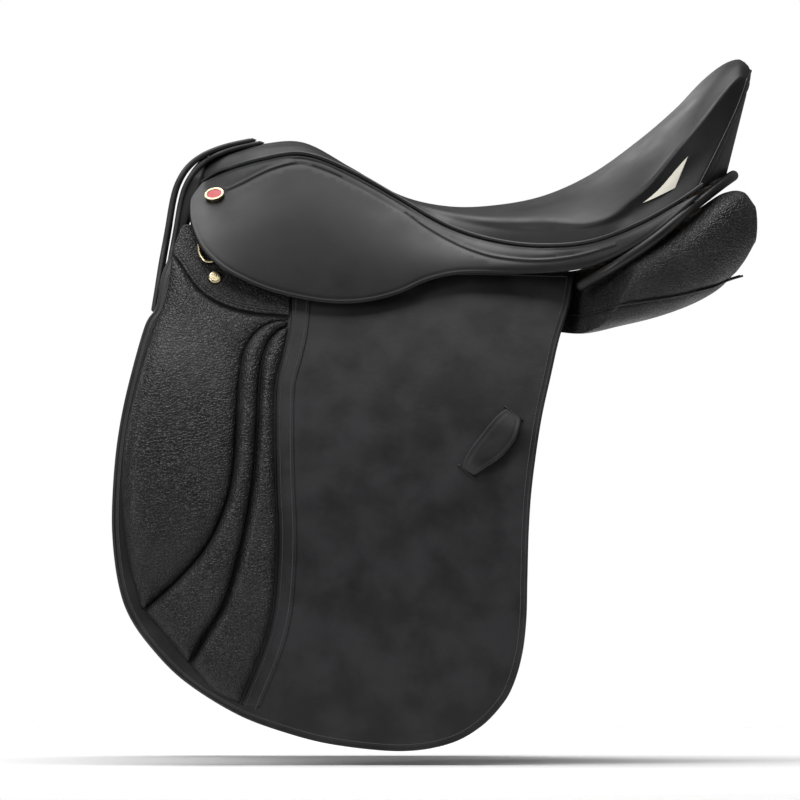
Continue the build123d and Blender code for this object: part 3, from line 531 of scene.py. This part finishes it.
def tube_mesh(path, radius, sides=10):
    """Round tube along a 3-D path, with rounded ends. radius is one value or one for each point."""
    p = np.array(path, float)
    r = np.full(len(p), radius, float) if np.isscalar(radius) else np.array(radius, float)
    along = np.gradient(p, axis=0)
    along /= np.linalg.norm(along, axis=1)[:, None]
    side = np.cross(along[0], (0.31, 0.17, 0.93))
    verts, faces = [], []
    rows = []
    for i, (q, a) in enumerate(zip(p, along)):
        side = side - a * side.dot(a)
        side /= np.linalg.norm(side)
        other = np.cross(a, side)
        rows.append((q, a, side.copy(), other, r[i]))
    first, last = rows[0], rows[-1]
    caps = [(0.45, 0.89), (0.85, 0.5)]
    start = [(first[0] - first[1] * first[4] * k, *first[1:4], first[4] * s) for k, s in reversed(caps)]
    end = [(last[0] + last[1] * last[4] * k, *last[1:4], last[4] * s) for k, s in caps]
    rows = start + rows + end
    for q, a, u, v, rr in rows:
        for k in range(sides):
            t = 2 * pi * k / sides
            verts.append(tuple(q + (u * cos(t) + v * sin(t)) * rr))
    for i in range(len(rows) - 1):
        for k in range(sides):
            m = (k + 1) % sides
            faces.append((i * sides + k, i * sides + m, (i + 1) * sides + m, (i + 1) * sides + k))
    tips = (rows[0][0] - rows[0][1] * rows[0][4] * 0.4, rows[-1][0] + rows[-1][1] * rows[-1][4] * 0.4)
    for tip, base, flip in ((tips[0], 0, 1), (tips[1], (len(rows) - 1) * sides, 0)):
        centre = len(verts)
        verts.append(tuple(tip))
        for k in range(sides):
            m = (k + 1) % sides
            faces.append((centre, base + m, base + k) if flip else (centre, base + k, base + m))
    return verts, faces


def stitches(path, pitch=2.9, length=1.9, radius=0.42):
    """Short thread ends along a 3-D path."""
    line = even(path, pitch)
    verts, faces = [], []
    for a, b in zip(line[:-1], line[1:]):
        mid, way = (a + b) / 2, (b - a) / np.linalg.norm(b - a)
        v, f = tube_mesh([mid - way * length / 2, mid + way * length / 2], radius, 6)
        faces += [tuple(i + len(verts) for i in face) for face in f]
        verts += v
    return verts, faces


def lifted(line, place, h):
    return np.array([place(x, z, h) for x, z in line])


def joined(*shapes):
    verts, faces = [], []
    for v, f in shapes:
        faces += [tuple(i + len(verts) for i in face) for face in f]
        verts += v
    return verts, faces


def grid_faces(rows, cols, start=0):
    return [
        (start + i * cols + j, start + i * cols + j + 1, start + (i + 1) * cols + j + 1, start + (i + 1) * cols + j)
        for i in range(rows - 1)
        for j in range(cols - 1)
    ]


def sheet(rows):
    """Mesh over rows of points that all have the same number of points."""
    return [p for row in rows for p in row], [tuple(reversed(f)) for f in grid_faces(len(rows), len(rows[0]))]


# ------------------------------------------------------------------ flap, pads and what is sewn on them
FLAP_FACE = on_side(638.0)
PAD_FACE = on_side(643.0)
flap_lines = [FLAP_EDGE, *zip(FLAP_TOP[:-1], FLAP_TOP[1:])]
top, bottom = sheet_heights(5.0, groove=0.7, groove_at=2.9)
both("flap_leather", *patch(flap_lines, FLAP_FACE, top, bottom, rings=(0.3, 0.8, 1.5, 2.1, 2.6, 3.2, 4.2, 6.0)),
     "smooth_leather", on_flap("flap", "flap_top"))  # fmt: skip


PAD_POWER = 2.2  # how round a pad's shoulders are
PAD_SUNK = 0.2  # a pad's edge lies this far in the flap


def pad_base(x, z, d):
    return np.full_like(d, -0.3)


def pad_heights(crest, width):
    """Top of a stuffed roll: full height from width inside its edge."""

    def top(x, z, d):
        h = crest * np.sqrt(1 - (1 - np.clip(d / width, 0, 1)) ** PAD_POWER)
        return h * thin_to_top(x, z) - PAD_SUNK

    return top, pad_base


def thin_to_top(x, z):
    """1 low on the flap, falling towards the fold and thin above it."""
    t = np.clip((z + 60) / 85, 0, 1)
    return 1 - 0.62 * t * t * (3 - 2 * t)


PAD_RINGS = (0.25, 0.7, 1.4, 2.4, 3.8, 5.6, 8.0)
knee = [PAD_FRONT, (PAD_FRONT[-1], GROOVE_A[-1]), GROOVE_A[::-1], (GROOVE_A[0], (-118.0, 9.4)),
        [(x, z - 1.6) for x, z in COVER_EDGE[::-1]], (COVER_EDGE[0], PAD_FRONT[0])]  # fmt: skip
pad_inner = smooth(GROOVE_A, 3.0)


def knee_top(x, z, d):
    """Steep at its front rim, then falling away towards the first groove."""
    crest, width = 17.5, 17.0
    away = np.clip(distance(np.stack([x, z], 1), pad_inner, closed=False) / 72.0, 0, 1)
    lean = 0.50 + 0.50 * away * away * (3 - 2 * away)
    return crest * np.sqrt(1 - (1 - np.clip(d / width, 0, 1)) ** PAD_POWER) * lean * thin_to_top(x, z) - PAD_SUNK


both("knee_pad_leather", *patch(knee, PAD_FACE, knee_top, pad_base, rings=PAD_RINGS),
     "grained_leather", on_flap("knee_pad", "knee_pad_top", fill=0.9))  # fmt: skip
a_right = shifted(smooth(GROOVE_A, 3.0), -0.6)
b_left, b_right = shifted(smooth(GROOVE_B, 3.0), 0.5), shifted(smooth(GROOVE_B, 3.0), -0.5)
c_left = shifted(smooth(SEAM_C, 3.0), 0.6)
middle = [a_right, (a_right[-1], b_left[-1]), b_left[::-1], (b_left[0], a_right[0])]
both("middle_roll_leather", *patch(middle, PAD_FACE, *pad_heights(12.0, 10.5), rings=PAD_RINGS, grid=3.0),
     "grained_leather", on_flap("middle_roll", fill=0.9))  # fmt: skip
rear = [b_right, (b_right[-1], (-178.8, -292.0), c_left[-1]), c_left[::-1], (c_left[0], b_right[0])]
both("rear_roll_leather", *patch(rear, PAD_FACE, *pad_heights(11.5, 9.5), rings=PAD_RINGS, grid=3.0),
     "grained_leather", on_flap("rear_roll", fill=0.9))  # fmt: skip

seam = smooth(((-116.5, 44), (-117.0, 22), *SEAM_C), 3.0)
strip_left, strip_right = shifted(seam, -1.0), shifted(seam, -15.5)
strip_end = [p for p in strip_right if p[1] > -306]
strip = [strip_left, (strip_left[-1], strip_end[-1]), np.array(strip_end)[::-1], (strip_end[0], strip_left[0])]
top, bottom = sheet_heights(1.4, low=-0.3)
both("seam_strip", *patch(strip, PAD_FACE, top, bottom, rings=(0.3, 0.8, 2.0)), "smooth_leather", on_flap())

flap_loop = outline(flap_lines, 2.0)
edge_row = inset(flap_loop, 5.4)
start_at = int(np.argmax(edge_row[:, 1] - 0.2 * edge_row[:, 0]))
edge_row = np.roll(edge_row, -start_at, 0)
rows = [lifted(edge_row[edge_row[:, 1] < 44], FLAP_FACE, 5.05)]
rows += [lifted(shifted(seam, -d), PAD_FACE, 1.05) for d in (4.2, 12.6)]
rows = [r for r in rows if len(r) > 4]


def runs(line, gap=12.0):
    """Splits a route where it jumps."""
    cut = np.where(np.linalg.norm(np.diff(line, axis=0), axis=1) > gap)[0] + 1
    return [r for r in np.split(line, cut) if len(r) > 2]


both("flap_stitching", *joined(*[stitches(run) for row in rows for run in runs(row)]), "thread", on_flap())

# ------------------------------------------------------------------ point cover
cover = [COVER_EDGE, (COVER_EDGE[-1], (-118, 43)), ((-118, 43), (-162.5, 43)), ((-162.5, 43), (-169, 83)),
         ((-169, 83), (-207, 83)), ((-207, 83), COVER_EDGE[0])]  # fmt: skip
top, bottom = sheet_heights(2.6, groove=0.5, groove_at=2.4, low=0.1)
both("cover_leather", *patch(cover, PAD_FACE, top, bottom), "grained_leather", on_root("point_cover"))
hem = [lifted(shifted(smooth(COVER_EDGE, 2.0), d)[2:-2], PAD_FACE, 2.75) for d in (-3.4, -5.6)]
both("cover_stitching", *joined(*[stitches(row, 2.2, 1.4, 0.3) for row in hem]), "thread", on_root())

# ------------------------------------------------------------------ keeper
KEEPER_A, KEEPER_B = np.array((26.0, -115.0)), np.array((63.8, -67.6))


def bow(x, z):
    way = KEEPER_B - KEEPER_A
    t = ((x - KEEPER_A[0]) * way[0] + (z - KEEPER_A[1]) * way[1]) / way.dot(way)
    return 6.4 * (1 - np.abs(2 * np.clip(t, 0.0, 1.0) - 1) ** 4) - 0.7


keeper_edge = [KEEPER[0:2], KEEPER[1:7], KEEPER[6:8], (*KEEPER[7:10], KEEPER[0])]
keeper_mesh = patch(
    keeper_edge, PAD_FACE,
    lambda x, z, d: bow(x, z) + 1.3 + 1.3 * rounding(d, 1.3) - 0.3 * np.exp(-(((d - 3.4) / 0.5) ** 2)),
    lambda x, z, d: bow(x, z) + 1.3 - 1.3 * rounding(d, 1.3),
    step=1.5, rings=(0.3, 0.8, 1.4, 2.4, 3.4, 4.4), grid=2.0,
)  # fmt: skip
both("keeper_leather", *keeper_mesh, "smooth_leather", on_body("flap_body", "flap_keeper"))
keeper_way = (KEEPER_B - KEEPER_A) / np.linalg.norm(KEEPER_B - KEEPER_A)
keeper_cross = np.array((keeper_way[1], -keeper_way[0]))
for number, end in enumerate((KEEPER_A, KEEPER_B)):
    mouth = [end - keeper_cross * 9.0, end + keeper_cross * 9.0]
    mouth_line = even(lifted(mouth, PAD_FACE, 0.2), 2.0)
    both(f"keeper_slot_{number}", *tube_mesh(mouth_line, 0.9, 8), "welt_leather",
         on_body("flap_body"), slot="smooth_leather")  # fmt: skip

# ------------------------------------------------------------------ skirt
seam_top = [(x, course(SEAT, x, 5) - 0.1) for x in range(-166, 200, 24)]
skirt_lines = [SKIRT_EDGE, (SKIRT_EDGE[-1], *seam_top, SKIRT_EDGE[0])]
crease = smooth(SKIRT_CREASE, 2.5)


def skirt_top(x, z, d):
    c = distance(np.stack([x, z], 1), crease, closed=False)
    line = 0.6 * np.exp(-((c / 0.8) ** 2)) - 0.5 * np.exp(-(((c - 1.9) / 0.8) ** 2))
    return -1.5 + 1.5 * rounding(d, 1.5) + line - 0.25 * np.exp(-(((d - 3.0) / 0.6) ** 2))


def skirt_bottom(x, z, d):
    return -1.5 - 1.5 * rounding(d, 1.5)


def settle_skirt(piece, side):
    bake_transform(piece)
    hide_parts(f"{side}_skirt", f"{side}_skirt_top")


both("skirt_leather", *patch(skirt_lines, on_skirt, skirt_top, skirt_bottom, rings=(0.3, 0.8, 1.5, 2.4, 3.0, 3.8, 6.0),
     lines=[(crease, (0.0, 0.7, 1.4, 2.1, 3.2))]), "skirt_leather", settle_skirt)  # fmt: skip


# ------------------------------------------------------------------ seat and cantle
def seat_column(x):
    """Left half of the seat's section, from the middle to the seam."""
    top, ridge_y, ridge_z, seam_y, seam_z = [course(SEAT, x, i) for i in range(1, 6)]
    seam_y -= 1.9
    half = [
        (0.0, top),
        (ridge_y * 0.55, ridge_z + (top - ridge_z) * 0.72),
        (ridge_y, ridge_z),
        ((ridge_y + seam_y) / 2 + 1.5, (ridge_z + seam_z) / 2),
        (seam_y, seam_z),
    ]
    whole = [(-y, z) for y, z in half[:0:-1]] + half
    soft = through(whole, [7, 7, 8, 8, 8, 8, 7, 7])
    wall = [half[2], ((ridge_y + seam_y) / 2 - 3.5, (ridge_z + seam_z) / 2), half[4]]
    right = through(wall, 7)
    left = right[::-1] * (-1, 1)
    crisp = np.vstack([left[:-1], through(whole[2:7], 8)[:-1], right])
    share = min(1.0, max(0.0, (x - 138.0) / 22.0))
    return soft * (1 - share) + crisp * share


XS = np.arange(150.0, 264.01, 2.0)
tail = np.array([seat_column(x) for x in XS])
front = [(x, seat_column(x)) for x in np.arange(-188.0, 150.0, 5.0)]
cols = tail.shape[1]
ends = []
for j in range(cols):
    over = [x - back_x(*p) for x, p in zip(XS, tail[:, j])]
    k = next((i for i, o in enumerate(over) if o > 0), len(XS) - 1)
    share = over[k - 1] / (over[k - 1] - over[k]) if over[k] > 0 else 1.0
    ends.append(XS[k - 1] + share * 2.0)


def seat_point(x, j):
    k = min(int((x - 150.0) / 2.0), len(XS) - 2)
    t = (x - XS[k]) / 2.0
    y, z = tail[k, j] * (1 - t) + tail[k + 1, j] * t
    return np.array((x, y, z))


corner = [seat_point(ends[j], j) for j in range(cols)]
rims = [3.0 + 8.5 * max(0.0, 1 - (c[1] / 62.0) ** 2) for c in corner]
seat_rows = []
nose = front[0][1]
centre = np.array((0.0, nose[0][1] + 4.0))
for a in (90, 72, 54, 36, 18):
    scale = 1 - 0.75 * (1 - cos(radians(a))) if a < 90 else 0.02
    seat_rows.append([(-188 - 7.5 * sin(radians(a)), *(centre + (p - centre) * scale)) for p in nose])
seat_rows += [[(x, *p) for p in section] for x, section in front]
for u in np.linspace(0, 1, 30):
    seat_rows.append([tuple(seat_point(150 + (ends[j] - rims[j] - 150) * u, j)) for j in range(cols)])
heart = np.array((0.0, 128.0))
inner_rim = []
for c, rim in zip(corner, rims):
    way = heart - c[1:]
    yz = c[1:] + way / np.linalg.norm(way) * rim
    inner_rim.append(np.array((back_x(*yz), *yz)))
rim_bends = list(zip([np.array(p) for p in seat_rows[-1]], corner, inner_rim))
for t in (0.2, 0.4, 0.6, 0.8, 1.0):
    seat_rows.append([tuple(b * (1 - t) ** 2 + 2 * c * t * (1 - t) + e * t**2) for b, c, e in rim_bends])


def thicken(piece, mm):
    shell = piece.modifiers.new("thickness", "SOLIDIFY")
    shell.thickness = mm * MM
    shell.offset = -1.0


seat = make("seat_leather_top", *sheet(seat_rows), "seat_leather")
thicken(seat, 2.2)
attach(seat, ROOT)
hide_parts("seat_cover")

back_rows = []
for k in (0.0, 0.02, 0.05, 0.08, 0.11, 0.125, 0.14, 0.17, 0.25, 0.4, 0.6, 0.8, 0.98):
    groove = 0.9 * np.exp(-(((k - 0.125) / 0.012) ** 2)) - 0.5 * (0.02 < k < 0.12)
    row = []
    for e in inner_rim:
        yz = e[1:] * (1 - k) + heart * k
        row.append((back_x(*yz) - groove, *yz))
    back_rows.append(row)
back = make("cantle_leather", *sheet(back_rows), "seat_leather")
thicken(back, 2.0)
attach(back, ROOT)
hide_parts("cantle_back")

welt_path = [0.12 * b + 0.46 * c + 0.42 * e for b, c, e in rim_bends]
rim_welt = make("cantle_welt", *tube_mesh(even(welt_path, 2.5), 1.1, 8), "welt_leather")
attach(rim_welt, ROOT)

piping = [(x, -(course(SEAT, x, 4) - 0.4), course(SEAT, x, 5) + 0.9) for x in np.linspace(-190, 217, 120)]
piping = [(-194.5, -44, 117)] + piping
piping = smooth(piping[::4] + [piping[-1]], 3.0)
both("piping_leather", *tube_mesh(piping, 1.75, 10), "welt_leather", on_root("seat_piping"))

# ------------------------------------------------------------------ rear roll
roll = list(ROLL_PATH) + [(x, -y, z) for x, y, z in reversed(ROLL_PATH)]
rear_welt = make("rear_welt_leather", *tube_mesh(smooth(roll, 3.5), 4.3, 14), "welt_leather")
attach(rear_welt, ROOT)
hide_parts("rear_welt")


# ------------------------------------------------------------------ panels
def panel_ring(x, grow=1.0, n=180):
    out, height, wide, tall, tilt = [course(PANEL, x, i) for i in range(1, 6)]
    t = radians(tilt)
    ring = []
    for i in range(n):
        a = 2 * pi * i / n
        u = wide * grow * abs(cos(a)) ** (2 / 2.6) * (1 if cos(a) >= 0 else -1)
        v = tall * grow * abs(sin(a)) ** (2 / 2.6) * (1 if sin(a) >= 0 else -1)
        y, z = out + u * cos(t) - v * sin(t), height + u * sin(t) + v * cos(t)
        ring.append((x, -min(y, out_at(PANEL_LIMIT_R, z) + 1.3 * max(0.0, x - 111.0)), z))
    return ring


def gusset_z(x):
    return float(np.interp(x, [p[0] for p in GUSSET_LINE], [p[1] for p in GUSSET_LINE]))


def dented(ring, x):
    """The ring drawn in a little along the gusset's seam."""
    out, height = course(PANEL, x, 1), course(PANEL, x, 2)
    found = []
    for px, py, pz in ring:
        away = abs(pz - gusset_z(x))
        pull = 1 - 0.035 * np.exp(-((away / 2.2) ** 2)) * (x > 104)
        found.append((px, -(out + (-py - out) * pull), height + (pz - height) * pull))
    return found


panel_xs = np.arange(40.0, 260.1, 2.5)
rings = [panel_ring(40.0, 0.02)] + [dented(panel_ring(x), x) for x in panel_xs]
for k in (25, 50, 75, 90):
    end = panel_ring(260.0, max(0.02, cos(radians(k))))
    rings.append([(260 + 2.6 * sin(radians(k)), y, z) for _, y, z in end])
around = len(rings[0])
verts = [p for ring in rings for p in ring]
faces = []
for i in range(len(rings) - 1):
    for j in range(around):
        m = (j + 1) % around
        faces.append((i * around + j, i * around + m, (i + 1) * around + m, (i + 1) * around + j))
rear_panel = (verts, faces)
panel_top = ((72, 20), (72, 45), (20, 45), (-40, 62), (-80, 82), (-210, 82))
front_lines = [PANEL_FRONT, *zip(panel_top[:-1], panel_top[1:])]
front_panel = patch(
    front_lines, on_side(PANEL_MID_R),
    lambda x, z, d: 13.5 * rounding(d, 13.0), lambda x, z, d: -13.5 * rounding(d, 17.0),
    rings=(0.3, 1.0, 2.2, 4.0, 6.5, 9.5, 13.0), grid=6.0,
)  # fmt: skip


def settle_panel(piece, side):
    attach(piece, ROOT)
    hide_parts(f"{side}_panel", f"{side}_rear_gusset")


both("panel_leather", *joined(rear_panel, front_panel), "panel_leather", settle_panel)
bead = []
for x in np.arange(106.0, 252.0, 3.0):
    outer = sorted((p[2], p[1]) for p in panel_ring(x) if -p[1] > course(PANEL, x, 1))
    z = gusset_z(x)
    bead.append((x, float(np.interp(z, [p[0] for p in outer], [p[1] for p in outer])) + 0.4, z))
bead = smooth(bead[::4] + [bead[-1]], 3.0)
both("gusset_bead", *tube_mesh(bead, 0.95, 8), "welt_leather", on_root(), slot="grained_leather")


# ------------------------------------------------------------------ facings of the pommel
def facing(name, node, depth, outer, inner, mat):
    """An arched strip of leather along the pommel's front line, set back by depth."""
    line = smooth([(x + depth, z - depth * 0.35) for x, z in FACING_LINE], 2.0)
    run = np.r_[0, np.cumsum(np.linalg.norm(np.diff(line, axis=0), axis=1))]
    slope = np.gradient(line, axis=0)
    slope /= np.linalg.norm(slope, axis=1)[:, None]

    def width(profile, u):
        z = np.interp(u, run, line[:, 1])
        return np.interp(z, [p[1] for p in profile], [p[0] for p in profile])

    us = np.linspace(0, run[-1], 40)
    apex = inner[-1][1]
    left = [(-width(outer, u), -u) for u in us]
    hole = [u for u in us if np.interp(u, run, line[:, 1]) < apex - 1]
    inner_left = [(-width(inner, u), -u) for u in hole]
    shape = [
        left[::-1],
        [(-y, u) for y, u in left],
        ((-left[-1][0], left[-1][1]), (-inner_left[-1][0], inner_left[-1][1])),
        [(-y, u) for y, u in inner_left[::-1]] + inner_left,
        (inner_left[-1], left[-1]),
    ]

    def place(y, v, h):
        at = -v
        x, z = np.interp(at, run, line[:, 0]), np.interp(at, run, line[:, 1])
        dx, dz = np.interp(at, run, slope[:, 0]), np.interp(at, run, slope[:, 1])
        return (x + dz * h, y, z - dx * h)

    top, bottom = sheet_heights(4.4, groove=0.3, groove_at=3.4, low=-4.4)
    verts, faces = patch(shape, place, top, bottom, rings=(0.4, 1.1, 2.2, 3.4, 5.0))
    piece = make(name, verts, [tuple(reversed(f)) for f in faces], mat)
    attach(piece, ROOT)
    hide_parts(node)


PANEL_ARCH = ((115, 14), (99.5, 40), (79, 70), (66, 98), (54, 125), (38, 147), (20, 157), (0, 160))
PANEL_HOLE = ((96, 14), (81, 40), (65, 66), (54, 88), (44, 106), (32, 119), (16, 126), (0, 128))
HEAD_ARCH = ((99, 40), (92, 52), (77, 72), (64, 98), (51, 124), (36, 145), (19, 155), (0, 158))
HEAD_HOLE = ((94, 36), (85, 48), (69, 66), (56, 90), (45, 110), (32, 125), (16, 131), (0, 133))
facing("panel_facing_leather", "panel_facing", 0.0, PANEL_ARCH, PANEL_HOLE, "smooth_leather")
facing("pommel_facing_leather", "pommel_facing", 6.5, HEAD_ARCH, HEAD_HOLE, "smooth_leather")


# ------------------------------------------------------------------ lining behind the facings
facing_line = smooth(FACING_LINE, 2.0)[::-1]
lining = []
for z in np.linspace(26, 150, 63):
    y = float(np.interp(z, [p[1] for p in HEAD_ARCH], [p[0] for p in HEAD_ARCH])) - 4.0
    x0 = float(np.interp(z, facing_line[:, 1], facing_line[:, 0])) + 8.0
    x1 = max(x0 + 0.5, float(np.interp(z, (26, 84, 110, 150), (-208, -202, -192, -184))))
    lining.append([(x0 + (x1 - x0) * t, y - 1.5 * t, z) for t in (0, 0.25, 0.5, 0.75, 1.0)])
arch_rows = [[(x, -y, z) for x, y, z in row] for row in lining] + lining[::-1]
arch_points = [p for row in arch_rows for p in row]
arch_lining = make("pommel_lining", arch_points, grid_faces(len(arch_rows), 5), "skirt_leather")
thicken(arch_lining, 1.6)
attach(arch_lining, ROOT)


# ------------------------------------------------------------------ stage, light and camera
FLOOR_R, FLOOR_Z, FLOOR_SIDES = 1500.0, -352.0, 96
turns = [2 * pi * i / FLOOR_SIDES for i in range(FLOOR_SIDES)]
disc = [(FLOOR_R * cos(t), FLOOR_R * sin(t), FLOOR_Z) for t in turns]
floor = make("floor", disc, [list(range(FLOOR_SIDES))], "paper", slot="stage")


def softbox(name, at, look, size, power):
    light = bpy.data.lights.new(name, "AREA")
    light.shape = "RECTANGLE"
    light.size, light.size_y = size
    light.energy = power
    lamp = bpy.data.objects.new(name, light)
    bpy.context.scene.collection.objects.link(lamp)
    lamp.location = at
    lamp.rotation_euler = (Vector(look) - Vector(at)).to_track_quat("-Z", "Y").to_euler()
    lamp.visible_camera = False


softbox("over", (0.0, 0.2, 3.0), (0, 0.1, 0), (3.0, 3.0), 150)
softbox("key", (-2.3, -2.0, 1.1), (-0.1, 0, 0.0), (1.1, 1.7), 34)
softbox("fill", (2.5, -1.8, 0.5), (0.1, 0, 0.0), (1.0, 1.6), 9)
softbox("rear", (-1.4, 2.6, 1.3), (0, 0, 0.1), (1.4, 1.2), 22)

world = bpy.data.worlds.new("studio")
bpy.context.scene.world = world
world.use_nodes = True
sky, wires = world.node_tree.nodes, world.node_tree.links
dim = sky["Background"]
dim.inputs["Strength"].default_value = 0.12
white = sky.new("ShaderNodeBackground")
for shade in (dim, white):
    shade.inputs["Color"].default_value = (1, 1, 1, 1)
seen = sky.new("ShaderNodeLightPath")
chosen = sky.new("ShaderNodeMixShader")
wires.new(seen.outputs["Is Camera Ray"], chosen.inputs[0])
wires.new(dim.outputs[0], chosen.inputs[1])
wires.new(white.outputs[0], chosen.inputs[2])
wires.new(chosen.outputs[0], sky["World Output"].inputs["Surface"])
bpy.context.scene.view_settings.view_transform = "Standard"

camera = bpy.data.objects.new("camera", bpy.data.cameras.new("camera"))
bpy.context.scene.collection.objects.link(camera)
camera.data.sensor_width = 36.0
camera.data.lens = 1106.7
camera.data.clip_end = 60.0
aim = Vector((-0.0284, -0.10, -0.0569))  # the far, long lens gives the photo's flat view
camera.location = aim + Vector((0, -20.0, 0.1))
camera.rotation_euler = (aim - camera.location).to_track_quat("-Z", "Y").to_euler()
bpy.context.scene.camera = camera
